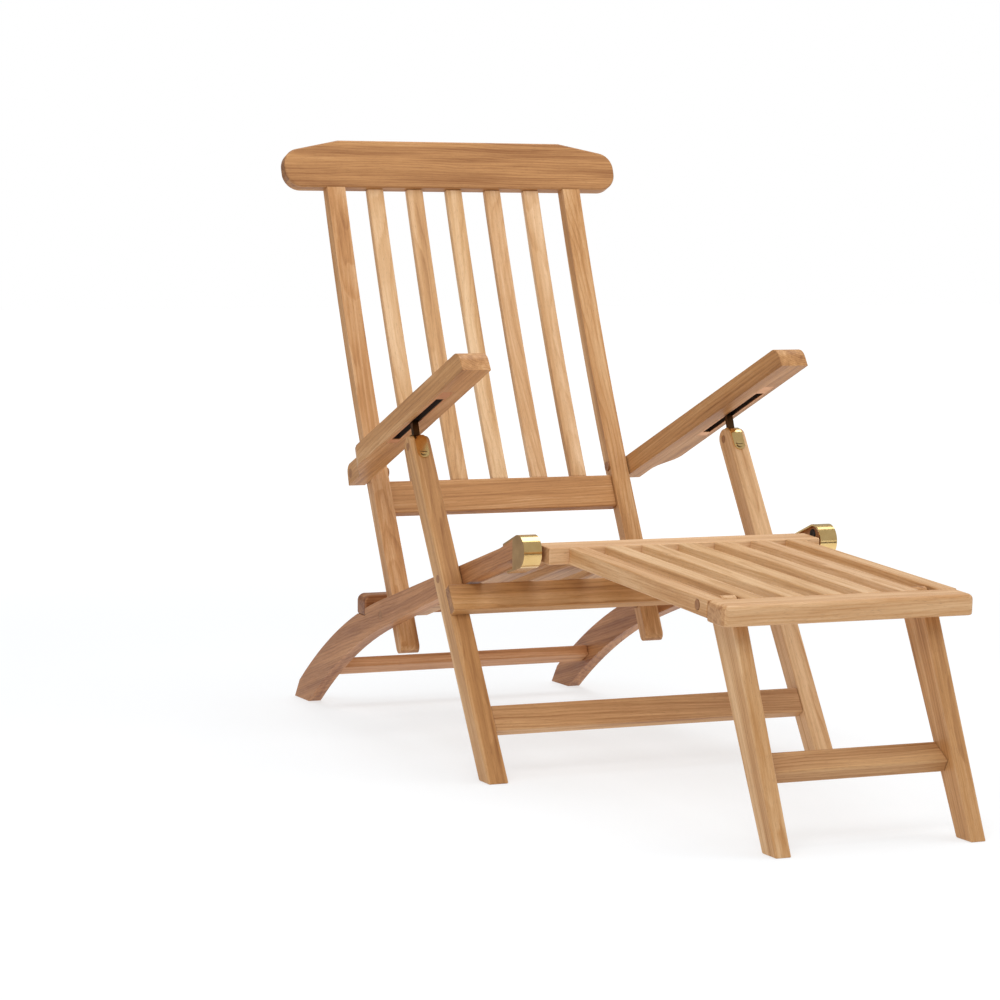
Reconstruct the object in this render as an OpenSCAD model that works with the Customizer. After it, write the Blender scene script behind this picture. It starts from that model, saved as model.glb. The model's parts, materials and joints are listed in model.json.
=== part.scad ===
// Folding sun lounger with arms and a leg rest, in teak, with brass and steel fittings.
// Sizes are in millimetres. A side view is drawn with its first number running forward from the
// front legs' toes (negative is behind them) and its second number running up from the floor.

/* [Overall] */
// Distance from the middle of the lounger's length to the front legs' toes
toe_line = 157; // [150:0.5:165]
// Radial gap of every turning fit
running_gap = 0.05; // [0.02:0.01:0.1]

/* [Seat rails] */
// Inner face of each rail, from the middle
rail_inner = 235; // [230:240]
// Thickness of each rail
rail_thick = 22; // [20:26]
// Slope of the rail's top edge
rail_top_slope = 14.72; // [14:0.01:16]
// Slope of the rail's lower edge
rail_low_slope = 16.8; // [16:0.1:18]
// Place where both edges begin to curve down to the rear foot
bend_place = -530; // [-550:-500]
// Radius of the rear curve
bend_radius = 1316; // [1200:1450]
// Height of the rail's top edge above the floor, at the toe line
rail_top_height = 354.5; // [345:0.5:365]
// Height of the rail's lower edge above the floor, at the toe line
rail_low_height = 329.5; // [320:0.5:340]
// Place of the heel of the rear foot
heel_place = -959; // [-980:-940]

/* [Rail nose and brass cap] */
// Place of the leg rest's hinge line
hinge_place = 27; // [20:35]
// Drop from the rail's top edge at the toe line to the leg rest's hinge line
hinge_drop = 9.5; // [6:0.5:12]
// Radius of the rail's rounded nose
nose_radius = 21.5; // [20:0.5:24]
// Slope of the nose's top as it runs back onto the rail
nose_top_slope = 19.5; // [16:0.5:22]
// Thickness of the brass cap
cap_thick = 3; // [2:0.5:4]
// How far the cap stands in past the rail's inner face
cap_lip = 6; // [3:9]
// Thickness of the cap's cheek, outside the rail
cheek_thick = 0.6; // [0.4:0.1:0.8]
// Radius of the hinge pin
hinge_pin_radius = 5; // [4:0.5:6]

/* [Front legs] */
// Lean of the front legs from upright
leg_lean = 33; // [30:36]
// Width of each front leg across the lounger
leg_wide = 32; // [28:36]
// Running gap between a rail and the front leg beside it
leg_gap = 1; // [0.5:0.5:3]
// Depth of each front leg
leg_deep = 33; // [28:38]
// Drop from the arm's underside to the rounding centre at the top of the leg
leg_top_drop = 38.9; // [30:45]
// Height of the leg's pivot
leg_pivot_height = 283; // [275:290]
// Radius of every pivot bolt
bolt_radius = 5; // [4:0.5:6]
// Radius of every wood plug
plug_radius = 8; // [6:0.5:10]

/* [Back] */
// Place of the back's pivot
back_pivot_place = -537; // [-545:-530]
// Height of the back's pivot
back_pivot_height = 189; // [180:200]
// Lean of the stile's straight lower part
stile_lean = 28; // [25:31]
// Radius of the stile's curved upper part
stile_radius = 4000; // [3500:4500]
// Place of the stile's front face where the curve begins
stile_bend_place = -616; // [-625:-605]
// Height where the curve begins
stile_bend_height = 360; // [340:380]
// Width of each stile
stile_wide = 32; // [28:36]
// Depth of each stile
stile_deep = 22; // [20:26]
// Lean of the front face at the middle of the head rail
head_lean = 19.14; // [18:0.01:21]
// Height of the head rail along its face
head_high = 85; // [80:100]
// Half the length of the head rail
head_half = 307; // [300:320]
// Number of back slats
back_slat_count = 5; // [4:6]
// Width of each back slat
back_slat_wide = 29; // [25:35]

/* [Arms] */
// Slope of the arms
arm_slope = 21; // [18:24]
// Place of the arm's pivot on the stile
arm_pivot_place = -653; // [-660:-645]
// Height of the arm's pivot
arm_pivot_height = 412; // [400:420]
// Thickness of the arm
arm_thick = 34; // [30:38]
// Length of the arm
arm_length = 594; // [570:610]
// Width of the slot under the arm
slot_wide = 13; // [11:15]
// Length of the slot under the arm
slot_length = 202; // [190:210]

/* [Leg rest] */
// Fall of the leg rest towards its front
rest_slope = 3.66; // [2:0.01:6]
// Rise of the leg rest's top above its hinge line, at the toe line
rest_rise = 11; // [9:14]
// Outer face of the leg rest's side rails, from the middle
rest_outer = 191; // [185:200]
// Thickness of the leg rest's frame
rest_thick = 25; // [22:28]
// Place along the leg rest where the front rail ends
rest_front = 557; // [540:570]
// Number of leg rest slats
rest_slat_count = 5; // [4:6]
// Width of each leg rest slat
rest_slat_wide = 30; // [26:34]
// Place along the leg rest of the pivot of its legs
rest_pivot_place = 478.7; // [470:490]

/* [Hidden] */

$fn = 48;
fine = 360;
far = 1200;

teak = "#c8935a";
teak_light = "#d4a470";
end_grain = "#9c6b3c";
brass = "#d8bf7a";
steel = "#55524c";

rail_outer = rail_inner + rail_thick;
leg_inner = rail_outer + leg_gap;
half_over_legs = leg_inner + leg_wide;
leg_middle = half_over_legs - leg_wide / 2;
stile_outer = rail_inner;
stile_inner = stile_outer - stile_wide;
head_bolt_radius = 8;
bolt_head = 3;
plug_deep = 5;

// Points of a side view, as [forward, up]
hinge_height = rail_top_height - hinge_drop;
hinge = [hinge_place, hinge_height];
back_pivot = [back_pivot_place, back_pivot_height];
arm_pivot = [arm_pivot_place, arm_pivot_height];
leg_back = leg_deep / cos(leg_lean);
leg_pivot = [-leg_back / 2 - leg_pivot_height * tan(leg_lean), leg_pivot_height];
// The leg's middle line meets a line under the arm, parallel to it
under_arm = arm_thick / 2 + leg_top_drop;
leg_top_height = (arm_pivot_height * cos(arm_slope) - under_arm - (leg_back / 2 + arm_pivot_place) * sin(arm_slope))
    / (tan(leg_lean) * sin(arm_slope) + cos(arm_slope));
leg_top = [-leg_back / 2 - leg_top_height * tan(leg_lean), leg_top_height];
// Place along the arm that the hook enters at rest
hook_along = (leg_top.x - arm_pivot_place) * cos(arm_slope) + (leg_top.y - arm_pivot_height) * sin(arm_slope);

// Height of the rail's straight edges at a place
function rail_top(place) = rail_top_height + place * tan(rail_top_slope);
function rail_low(place) = rail_low_height + place * tan(rail_low_slope);
// Centre of a curve that leaves a straight edge at the bend
function bend_centre(height, slope) = [bend_place + bend_radius * sin(slope), height - bend_radius * cos(slope)];

// Extrudes a side view across the lounger, from x over a width
module side(x, wide) {
    translate([x + wide, -toe_line, 0])
        rotate([90, 0, -90])
            linear_extrude(height = wide)
                children();
}

// The same, on the left or the right, from its inner to its outer face
module flank(hand, inner, outer) {
    side(hand > 0 ? inner : -outer, outer - inner)
        children();
}

// Round bar across the lounger at a point of the side view
module cross_bar(hand, inner, outer, point, radius) {
    flank(hand, inner, outer)
        translate(point)
            circle(r = radius);
}

// A strip of a side view between two points, to one side of the line that joins them
module strip(start, end, deep) {
    run = end - start;
    turn = atan2(run.y, run.x);
    translate(start)
        rotate(turn)
            square([norm(run), deep]);
}

// Seat frame

nose_turn = 90 + nose_top_slope;
nose_top = hinge + nose_radius * [cos(nose_turn), sin(nose_turn)];
nose_bottom = hinge + nose_radius * [sin(rail_top_slope), -cos(rail_top_slope)];
// Place where the nose's top line meets the rail's top edge
nose_join_place = (rail_top_height - nose_top.y + nose_top.x * tan(nose_top_slope))
    / (tan(nose_top_slope) - tan(rail_top_slope));
nose_heel = nose_bottom - 24 * [cos(rail_top_slope), sin(rail_top_slope)];
nose_step = nose_heel + 13.6 * [-sin(rail_top_slope), cos(rail_top_slope)];

// The straight part, with a tongue that runs into the curved part
module rail_straight_profile() {
    translate(hinge)
        circle(r = nose_radius, $fn = 96);
    polygon([
        [nose_join_place, rail_top(nose_join_place)],
        [bend_place, rail_top(bend_place)],
        [bend_place - 10, (rail_low(bend_place) + rail_top(bend_place)) / 2],
        [bend_place, rail_low(bend_place)],
        [nose_join_place, rail_low(nose_join_place)],
        nose_step,
        nose_heel,
        nose_bottom,
        hinge,
        nose_top
    ]);
}

heel_run = 48;
heel_rise = 62;
module rail_curve_profile() {
    difference() {
        intersection() {
            translate(bend_centre(rail_top(bend_place), rail_top_slope))
                circle(r = bend_radius, $fn = fine);
            polygon([
                [bend_place, 0],
                [bend_place, rail_top_height],
                [heel_place + heel_run, rail_top_height],
                [heel_place + heel_run, heel_rise],
                [heel_place, 0]
            ]);
        }
        translate(bend_centre(rail_low(bend_place), rail_low_slope))
            circle(r = bend_radius, $fn = fine);
    }
}

module rail(hand) {
    color(teak)
        difference() {
            flank(hand, rail_inner, rail_outer) {
                rail_straight_profile();
                rail_curve_profile();
            }
            cross_bar(hand, rail_inner - 1, rail_outer - plug_deep + 1, hinge, hinge_pin_radius + running_gap);
            cross_bar(hand, rail_inner - 1, rail_outer + 1, leg_pivot, bolt_radius + running_gap);
            cross_bar(hand, rail_inner - 1, rail_outer - plug_deep + 1, back_pivot, bolt_radius + running_gap);
            cross_bar(hand, rail_outer - plug_deep, rail_outer + 1, back_pivot, plug_radius);
            rear_bar_block();
        }
}

module rail_left() { rail(-1); }
module rail_right() { rail(1); }

module rail_plugs() {
    color(end_grain)
        for (hand = [-1, 1])
            cross_bar(hand, rail_outer - plug_deep, rail_outer, back_pivot, plug_radius);
}

// The stretcher lies in the curved part, where its top edge has this slope
stretcher_slope = 28.9;
stretcher_depth = 30;
stretcher_wide = 35;
stretcher_thick = 18;
module rear_stretcher() {
    color(teak)
        side(-rail_inner, 2 * rail_inner)
            translate(bend_centre(rail_top(bend_place), rail_top_slope))
                rotate(stretcher_slope)
                    translate([0, bend_radius - stretcher_depth])
                        square([stretcher_wide, stretcher_thick], center = true);
}

rear_bar_front = -608;
rear_bar_deep = 38;
rear_bar_low = 180;
rear_bar_high = 34;
rear_bar_round = 12;
module rear_bar_block() {
    half = rail_outer;
    translate([0, -toe_line - rear_bar_front + rear_bar_deep, rear_bar_low])
        rotate([90, 0, 0])
            linear_extrude(height = rear_bar_deep) {
                translate([-half, 0])
                    square([2 * half, rear_bar_high - rear_bar_round]);
                translate([-half + rear_bar_round, rear_bar_high - rear_bar_round])
                    square([2 * (half - rear_bar_round), rear_bar_round]);
                for (hand = [-1, 1])
                    translate([hand * (half - rear_bar_round), rear_bar_high - rear_bar_round])
                        circle(r = rear_bar_round);
            }
}

module rear_bar() {
    color(teak)
        rear_bar_block();
}

seat_drop = 4;
seat_slat_thick = 14;
seat_slat_wide = 52;
seat_edge_gap = 2;
seat_half = stile_inner - bolt_head - seat_edge_gap;
seat_front = -16;
seat_front_rail_deep = 40;
seat_front_rail_thick = 20;
seat_middle_front = -360;
seat_middle_deep = 40;
seat_middle_thick = 18;
function seat_top(place) = rail_top(place) - seat_drop / cos(rail_top_slope);
function seat_point(place, depth) = [place + depth * sin(rail_top_slope), seat_top(place) - depth * cos(rail_top_slope)];

module seat_front_rail() {
    rear = seat_point(seat_front, 0) - seat_front_rail_deep * [cos(rail_top_slope), sin(rail_top_slope)];
    color(teak)
        side(-rail_inner, 2 * rail_inner)
            translate(rear)
                rotate(rail_top_slope)
                    translate([0, -seat_front_rail_thick])
                        square([seat_front_rail_deep, seat_front_rail_thick]);
}

module seat_middle_rail() {
    color(teak)
        side(-rail_inner, 2 * rail_inner)
            translate(seat_point(seat_middle_front, seat_slat_thick))
                rotate(180 + rail_top_slope)
                    square([seat_middle_deep, seat_middle_thick]);
}

module seat_slat(number) {
    pitch = (2 * seat_half - seat_slat_wide) / 4;
    x = -seat_half + (number - 1) * pitch;
    front = seat_point(seat_front, 0) - seat_front_rail_deep * [cos(rail_top_slope), sin(rail_top_slope)];
    color(teak_light)
        side(x, seat_slat_wide)
            polygon([
                front,
                front + seat_slat_thick * [sin(rail_top_slope), -cos(rail_top_slope)],
                [rear_bar_front, seat_top(rear_bar_front) - seat_slat_thick / cos(rail_top_slope)],
                [rear_bar_front, seat_top(rear_bar_front)]
            ]);
}

module seat_slat_1() { seat_slat(1); }
module seat_slat_2() { seat_slat(2); }
module seat_slat_3() { seat_slat(3); }
module seat_slat_4() { seat_slat(4); }
module seat_slat_5() { seat_slat(5); }

// A round nose with a flat run back from it above and below
module nose_shape(radius, top_run, low_run) {
    core = 5;
    translate(hinge) {
        circle(r = radius, $fn = 96);
        rotate(nose_top_slope)
            translate([-top_run, -core])
                square([top_run, radius + core]);
        rotate(rail_top_slope)
            translate([-low_run, -radius])
                square([low_run, radius + core]);
    }
}

// The cap is a band round the nose with a tail above and below, closed outside by a cheek
cheek_rear = 19;
module nose_cap(hand) {
    top_tail = 50;
    low_tail = 47;
    longer = 30;
    color(brass)
        difference() {
            flank(hand, rail_inner - cap_lip, rail_outer + cheek_thick)
                nose_shape(nose_radius + cap_thick, top_tail, low_tail);
            flank(hand, rail_inner - cap_lip - 1, rail_outer)
                nose_shape(nose_radius, top_tail + longer, low_tail + longer);
            // Behind the cheek the cap is open to the side
            flank(hand, rail_outer - 1, rail_outer + cheek_thick + 1)
                intersection() {
                    nose_shape(nose_radius, top_tail + longer, low_tail + longer);
                    translate(hinge - [cheek_rear + 2 * top_tail, 2 * top_tail])
                        square([2 * top_tail, 4 * top_tail]);
                }
        }
}

module nose_cap_left() { nose_cap(-1); }
module nose_cap_right() { nose_cap(1); }

// Front legs

leg_axis = [-sin(leg_lean), cos(leg_lean)];
leg_normal = [cos(leg_lean), sin(leg_lean)];
function leg_front(height) = [-height * tan(leg_lean), height];

module front_leg_profile() {
    translate(leg_top)
        circle(r = leg_deep / 2);
    polygon([
        [0, 0],
        leg_top + leg_deep / 2 * leg_normal,
        leg_top - leg_deep / 2 * leg_normal,
        [-leg_back, 0]
    ]);
}

leg_plug_radius = 6.5;
module front_leg(hand) {
    color(teak)
        difference() {
            flank(hand, leg_inner, half_over_legs)
                front_leg_profile();
            cross_bar(hand, leg_inner - 1, half_over_legs - plug_deep + 1, leg_pivot, bolt_radius);
            for (point = [leg_pivot, leg_top])
                cross_bar(hand, half_over_legs - plug_deep, half_over_legs + 1, point, leg_plug_radius);
            cross_bar(hand, leg_inner - 1, leg_inner + plug_deep, leg_top, leg_plug_radius);
        }
}

module front_leg_left() { front_leg(-1); }
module front_leg_right() { front_leg(1); }

module leg_plugs() {
    color(end_grain)
        for (hand = [-1, 1]) {
            for (point = [leg_pivot, leg_top])
                cross_bar(hand, half_over_legs - plug_deep, half_over_legs, point, leg_plug_radius);
            cross_bar(hand, leg_inner, leg_inner + plug_deep, leg_top, leg_plug_radius);
        }
}

module leg_bolt(hand) {
    color(steel)
        cross_bar(hand, rail_inner + 1, half_over_legs - plug_deep, leg_pivot, bolt_radius);
}

module leg_bolt_left() { leg_bolt(-1); }
module leg_bolt_right() { leg_bolt(1); }

crossbar_top = 270;
crossbar_high = 44;
crossbar_thick = 18;
module front_crossbar() {
    color(teak)
        side(-half_over_legs, 2 * half_over_legs)
            translate(leg_front(crossbar_top))
                rotate(leg_lean)
                    translate([0, -crossbar_high])
                        square([crossbar_thick, crossbar_high]);
}

front_stretcher_top = 107;
front_stretcher_high = 41;
front_stretcher_thick = 20;
front_stretcher_set = 2;
module front_stretcher() {
    color(teak_light)
        side(-leg_inner, 2 * leg_inner)
            translate(leg_front(front_stretcher_top) - front_stretcher_set * leg_normal)
                rotate(leg_lean)
                    translate([-front_stretcher_thick, -front_stretcher_high])
                        square([front_stretcher_thick, front_stretcher_high]);
}

strap_thick = 2;
strap_half = 9.5;
strap_down = 29;
neck_deep = 9;
neck_half = 5;
hook_bite = 3;
hook_reach = leg_top_drop + hook_bite;
leg_crown = leg_deep / 2;

// Strap over the leg's rounded top and down its front face, in the leg's own side view
module strap_profile() {
    longer = 20;
    rear_end = [-60, 30];
    difference() {
        union() {
            circle(r = leg_crown + strap_thick);
            translate([0, -strap_down])
                square([leg_crown + strap_thick, strap_down]);
        }
        circle(r = leg_crown);
        translate([0, -strap_down - longer])
            square([leg_crown, strap_down + longer]);
        polygon([[0, 0], rear_end, [rear_end.x, -strap_down], [0, -strap_down]]);
    }
}

// The strap seen from the front, with its rounded lower end
module strap_outline() {
    translate([-strap_half, strap_half - strap_down])
        square([2 * strap_half, strap_down + 2 * leg_crown]);
    translate([0, strap_half - strap_down])
        circle(r = strap_half);
}

module arm_hook(hand) {
    color(brass) {
        intersection() {
            flank(hand, leg_middle - strap_half - 1, leg_middle + strap_half + 1)
                translate(leg_top)
                    rotate(leg_lean)
                        strap_profile();
            translate([hand * leg_middle, -toe_line, 0])
                multmatrix(leg_face_frame(leg_top - leg_deep * leg_normal))
                    linear_extrude(height = 2 * leg_deep)
                        strap_outline();
        }
        // Neck that stands up into the slot, square to the arm
        flank(hand, leg_middle - neck_half, leg_middle + neck_half)
            difference() {
                translate(leg_top)
                    rotate(arm_slope)
                        translate([-neck_deep / 2, 0])
                            square([neck_deep, hook_reach]);
                translate(leg_top)
                    circle(r = leg_crown + strap_thick / 2);
            }
    }
}

// Frame whose first axis runs across, second up the leg's front face, and third out of it
function leg_face_frame(point) = [
    [1, 0, 0, 0],
    [0, -leg_axis.x, -leg_normal.x, -point.x],
    [0, leg_axis.y, leg_normal.y, point.y],
    [0, 0, 0, 1]
];

module arm_hook_left() { arm_hook(-1); }
module arm_hook_right() { arm_hook(1); }

screw_radius = 5.5;
screw_high = 1.5;
screw_slot = 1.2;
module hook_screws() {
    point = leg_top + (leg_crown + strap_thick) * leg_normal - (strap_down - strap_half) * leg_axis;
    color(brass)
        for (hand = [-1, 1])
            translate([hand * leg_middle, -toe_line, 0])
                multmatrix(leg_face_frame(point))
                    difference() {
                        cylinder(r = screw_radius, h = screw_high);
                        translate([-2 * screw_radius, -screw_slot / 2, screw_high / 2])
                            cube([4 * screw_radius, screw_slot, screw_high]);
                    }
}

// Back

stile_bend = [stile_bend_place, stile_bend_height];
stile_centre = stile_bend + stile_radius * [cos(stile_lean), sin(stile_lean)];
// Point of the back's side view: lean of the face there, and depth behind the face
function back_point(lean, depth) = stile_centre - (stile_radius + depth) * [cos(lean), sin(lean)];
stile_down = [sin(stile_lean), -cos(stile_lean)];
stile_rear = [-cos(stile_lean), -sin(stile_lean)];
stile_tip_length = 244;
stile_tip = stile_bend + stile_tip_length * stile_down + stile_deep / 2 * stile_rear;

head_face = back_point(head_lean, 0);
head_up = [-sin(head_lean), cos(head_lean)];
head_rear = [-cos(head_lean), -sin(head_lean)];
head_low = head_face - head_high / 2 * head_up;
head_thick = 24;

low_rail_lean = 27.75;
low_rail_high = 57;
low_rail_thick = 18;
low_rail_set = 5;
low_rail_face = back_point(low_rail_lean, low_rail_set);
low_rail_up = [-sin(low_rail_lean), cos(low_rail_lean)];
low_rail_rear = [-cos(low_rail_lean), -sin(low_rail_lean)];
low_rail_head = low_rail_face + low_rail_high / 2 * low_rail_up;

// Ring of the back's curve between two depths, cut off below a line and above the head rail's foot
module back_curve_profile(front, rear, low_point, low_rear) {
    intersection() {
        difference() {
            translate(stile_centre)
                circle(r = stile_radius + rear, $fn = 4 * fine);
            translate(stile_centre)
                circle(r = stile_radius + front, $fn = 4 * fine);
        }
        polygon([
            low_point - 20 * low_rear,
            low_point + 60 * low_rear,
            head_low + 60 * head_rear,
            head_low - 20 * head_rear
        ]);
    }
}

module stile(hand) {
    color(teak)
        difference() {
            flank(hand, stile_inner, stile_outer) {
                translate(stile_tip)
                    circle(r = stile_deep / 2);
                strip(stile_bend + stile_tip_length * stile_down, stile_bend, stile_deep);
                back_curve_profile(0, stile_deep, stile_bend, stile_rear);
            }
            cross_bar(hand, stile_inner - 1, stile_outer + 1, back_pivot, bolt_radius);
            cross_bar(hand, stile_inner - 1, stile_outer + 1, arm_pivot, bolt_radius + running_gap);
        }
}

module stile_left() { stile(-1); }
module stile_right() { stile(1); }

module pivot_bolt(hand, point, inner, outer) {
    color(steel) {
        cross_bar(hand, inner, outer, point, bolt_radius);
        cross_bar(hand, inner - bolt_head, inner, point, head_bolt_radius);
    }
}

module back_bolt_left() { pivot_bolt(-1, back_pivot, stile_inner, rail_outer - plug_deep); }
module back_bolt_right() { pivot_bolt(1, back_pivot, stile_inner, rail_outer - plug_deep); }

// Outline of the head rail: rounded ends, and a shallow slope down to each top corner
module head_outline() {
    top = head_high / 2;
    corner = 30;
    fall = 12;
    slope_drop = 16.4;
    inset = head_half - corner;
    slope_end = [inset + corner * sin(fall), top - slope_drop];
    slope_start = slope_end.x - slope_drop / tan(fall);
    low = -top + corner;
    high = slope_end.y - corner * cos(fall);
    polygon([
        [-inset, -top], [inset, -top],
        [head_half, low], [head_half, high],
        slope_end, [slope_start, top],
        [-slope_start, top], [-slope_end.x, slope_end.y],
        [-head_half, high], [-head_half, low]
    ]);
    for (hand = [-1, 1])
        for (height = [low, high])
            translate([hand * inset, height])
                circle(r = corner);
}

module head_rail() {
    color(teak)
        translate([0, -toe_line - head_face.x, head_face.y])
            rotate([-head_lean, 0, 0])
                rotate([90, 0, 0])
                    translate([0, 0, -head_thick])
                        linear_extrude(height = head_thick)
                            head_outline();
}

module low_back_rail() {
    color(teak)
        side(-stile_inner, 2 * stile_inner)
            translate(low_rail_face)
                rotate(low_rail_lean)
                    translate([-low_rail_thick, -low_rail_high / 2])
                        square([low_rail_thick, low_rail_high]);
}

back_slat_front = 8;
back_slat_thick = 12;
module back_slat(number) {
    gap = (2 * stile_inner - back_slat_count * back_slat_wide) / (back_slat_count + 1);
    x = -stile_inner + gap + (number - 1) * (gap + back_slat_wide);
    color(teak_light)
        side(x, back_slat_wide)
            back_curve_profile(back_slat_front, back_slat_front + back_slat_thick, low_rail_head, low_rail_rear);
}

module back_slat_1() { back_slat(1); }
module back_slat_2() { back_slat(2); }
module back_slat_3() { back_slat(3); }
module back_slat_4() { back_slat(4); }
module back_slat_5() { back_slat(5); }

// Arms, drawn level with their pivot at the origin, then tipped up to their slope

arm_behind = 14;
arm_gap = 2.5;
arm_inner_rear = stile_outer + arm_gap;
arm_inner_front = half_over_legs - 46;
tail_outer = half_over_legs - 24;
tail_length = 52;
sweep_length = 68;
tail_round = 15;
tip_round = 17;
slot_middle = leg_middle;
slot_behind_hook = 85.5;
slot_rear = hook_along - slot_behind_hook;
track_wide = 19;
track_lead = 19;
track_rear = slot_rear - track_lead;
track_length = 255;
track_thick = 2;
slot_deep = 22;

module arm_side_outline() {
    front = arm_length - arm_behind;
    half = arm_thick / 2;
    translate([front - tip_round, half - tip_round])
        circle(r = tip_round);
    translate([-arm_behind + tail_round, half - tail_round])
        circle(r = tail_round);
    polygon([
        [-arm_behind, -half],
        [front, -half],
        [front, half - tip_round],
        [front - tip_round, half],
        [-arm_behind + tail_round, half],
        [-arm_behind, half - tail_round]
    ]);
}

// Plan of the right arm: first number across, second number back along the arm
module arm_plan_outline() {
    front = arm_length - arm_behind;
    tail_end = tail_length - arm_behind;
    step = half_over_legs - tail_outer;
    middle = [(half_over_legs + tail_outer) / 2, -tail_end - sweep_length / 2];
    polygon([
        [arm_inner_rear, arm_behind + 1],
        [tail_outer, arm_behind + 1],
        [tail_outer, -tail_end],
        [tail_outer + step * 0.15, -tail_end - sweep_length * 0.25],
        middle,
        [half_over_legs - step * 0.15, -tail_end - sweep_length * 0.75],
        [half_over_legs, -tail_end - sweep_length],
        [half_over_legs, -front - 1],
        [arm_inner_front, -front - 1]
    ]);
}

module tip_arm() {
    translate([0, -toe_line - arm_pivot.x, arm_pivot.y])
        rotate([-arm_slope, 0, 0])
            children();
}

module arm_body() {
    difference() {
        intersection() {
            translate([rail_inner, 0, 0])
                rotate([90, 0, -90])
                    translate([0, 0, -half_over_legs])
                        linear_extrude(height = half_over_legs)
                            arm_side_outline();
            translate([0, 0, -arm_thick])
                linear_extrude(height = 2 * arm_thick)
                    arm_plan_outline();
        }
        // Pivot hole and the plug that closes it outside
        rotate([0, 90, 0]) {
            translate([0, 0, rail_inner])
                cylinder(r = bolt_radius, h = tail_outer - plug_deep - rail_inner);
            translate([0, 0, tail_outer - plug_deep])
                cylinder(r = plug_radius, h = plug_deep + 1);
        }
        // Seat of the metal track, and the slot above it
        track_box(track_wide, track_rear, track_length, track_thick);
        track_box(slot_wide, slot_rear, slot_length, slot_deep);
    }
}

// Box let into the arm's underside, from a place on the arm forward
module track_box(wide, rear, length, deep) {
    translate([slot_middle - wide / 2, -rear - length, -arm_thick / 2 - 1])
        cube([wide, length, deep + 1]);
}

module arm_left() {
    color(teak)
        tip_arm()
            mirror([1, 0, 0])
                arm_body();
}

module arm_right() {
    color(teak)
        tip_arm()
            arm_body();
}

module arm_track(hand) {
    color(steel)
        tip_arm()
            translate([hand * slot_middle, 0, -arm_thick / 2])
                difference() {
                    translate([-track_wide / 2, -track_rear - track_length, 0])
                        cube([track_wide, track_length, track_thick]);
                    translate([-slot_wide / 2, -slot_rear - slot_length, -1])
                        cube([slot_wide, slot_length, track_thick + 2]);
                }
}

module arm_track_left() { arm_track(-1); }
module arm_track_right() { arm_track(1); }

module arm_plug(hand) {
    color(end_grain)
        cross_bar(hand, tail_outer - plug_deep, tail_outer, arm_pivot, plug_radius);
}

module arm_plug_left() { arm_plug(-1); }
module arm_plug_right() { arm_plug(1); }

module arm_bolt_left() { pivot_bolt(-1, arm_pivot, stile_inner, tail_outer - plug_deep - 1); }
module arm_bolt_right() { pivot_bolt(1, arm_pivot, stile_inner, tail_outer - plug_deep - 1); }

// Leg rest, drawn level with its top at height zero, then tipped down to its slope

rest_rear = 11;
rest_rail_deep = 51;
rest_cap_gap = 7;
rest_rear_half = rail_inner - cap_lip - rest_cap_gap;
rest_side_wide = 28;
rest_front_deep = 49;
rest_front_thick = 29;
rest_slat_thick = 13;
rest_inner = rest_outer - rest_side_wide;
rest_slat_start = rest_rear + rest_rail_deep;
rest_slat_end = rest_front - rest_front_deep;
rest_top_height = hinge_height + rest_rise;
rest_leg_gap = 5;
rest_leg_wide = 23;
rest_leg_outer = rest_inner - rest_leg_gap;
rest_leg_inner = rest_leg_outer - rest_leg_wide;
rest_slat_clear = 1;
rest_slat_pitch = (rest_leg_inner - rest_slat_clear - rest_slat_wide / 2) / (rest_slat_count / 2 - 0.5);
rest_pin_deep = 30;
rest_plug_radius = 7;
// Point of the side view at a place along the leg rest and a depth below its top
function rest_point(place, depth) = [
    place * cos(rest_slope) - depth * sin(rest_slope),
    rest_top_height - place * sin(rest_slope) - depth * cos(rest_slope)
];
rest_pivot = rest_point(rest_pivot_place, 11.5);

module tip_rest() {
    translate([0, -toe_line, rest_top_height])
        rotate([rest_slope, 0, 0])
            children();
}

// Block of the leg rest: across, then from one place to another along it
module rest_block(x, wide, start, end, thick) {
    tip_rest()
        translate([x, -end, -thick])
            cube([wide, end - start, thick]);
}

module rest_rear_rail() {
    color(teak)
        difference() {
            rest_block(-rest_rear_half, 2 * rest_rear_half, rest_rear, rest_slat_start, rest_thick);
            for (hand = [-1, 1])
                cross_bar(hand, rest_rear_half - rest_pin_deep, rest_rear_half + 1, hinge, hinge_pin_radius);
        }
}

module rest_side(hand) {
    color(teak)
        difference() {
            rest_block(hand > 0 ? rest_inner : -rest_outer, rest_side_wide, rest_slat_start, rest_slat_end, rest_thick);
            cross_bar(hand, rest_inner - 1, rest_outer + 1, rest_pivot, bolt_radius);
            cross_bar(hand, rest_outer - plug_deep, rest_outer + 1, rest_pivot, rest_plug_radius);
        }
}

module rest_side_left() { rest_side(-1); }
module rest_side_right() { rest_side(1); }

module rest_front_rail() {
    color(teak)
        rest_block(-rest_outer, 2 * rest_outer, rest_slat_end, rest_front, rest_front_thick);
}

module rest_slat(number) {
    x = (number - (rest_slat_count + 1) / 2) * rest_slat_pitch - rest_slat_wide / 2;
    color(teak_light)
        rest_block(x, rest_slat_wide, rest_slat_start, rest_slat_end, rest_slat_thick);
}

module rest_slat_1() { rest_slat(1); }
module rest_slat_2() { rest_slat(2); }
module rest_slat_3() { rest_slat(3); }
module rest_slat_4() { rest_slat(4); }
module rest_slat_5() { rest_slat(5); }

module hinge_pin(hand) {
    color(steel)
        cross_bar(hand, rest_rear_half - rest_pin_deep, rail_outer - plug_deep, hinge, hinge_pin_radius);
}

module hinge_pin_left() { hinge_pin(-1); }
module hinge_pin_right() { hinge_pin(1); }

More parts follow.
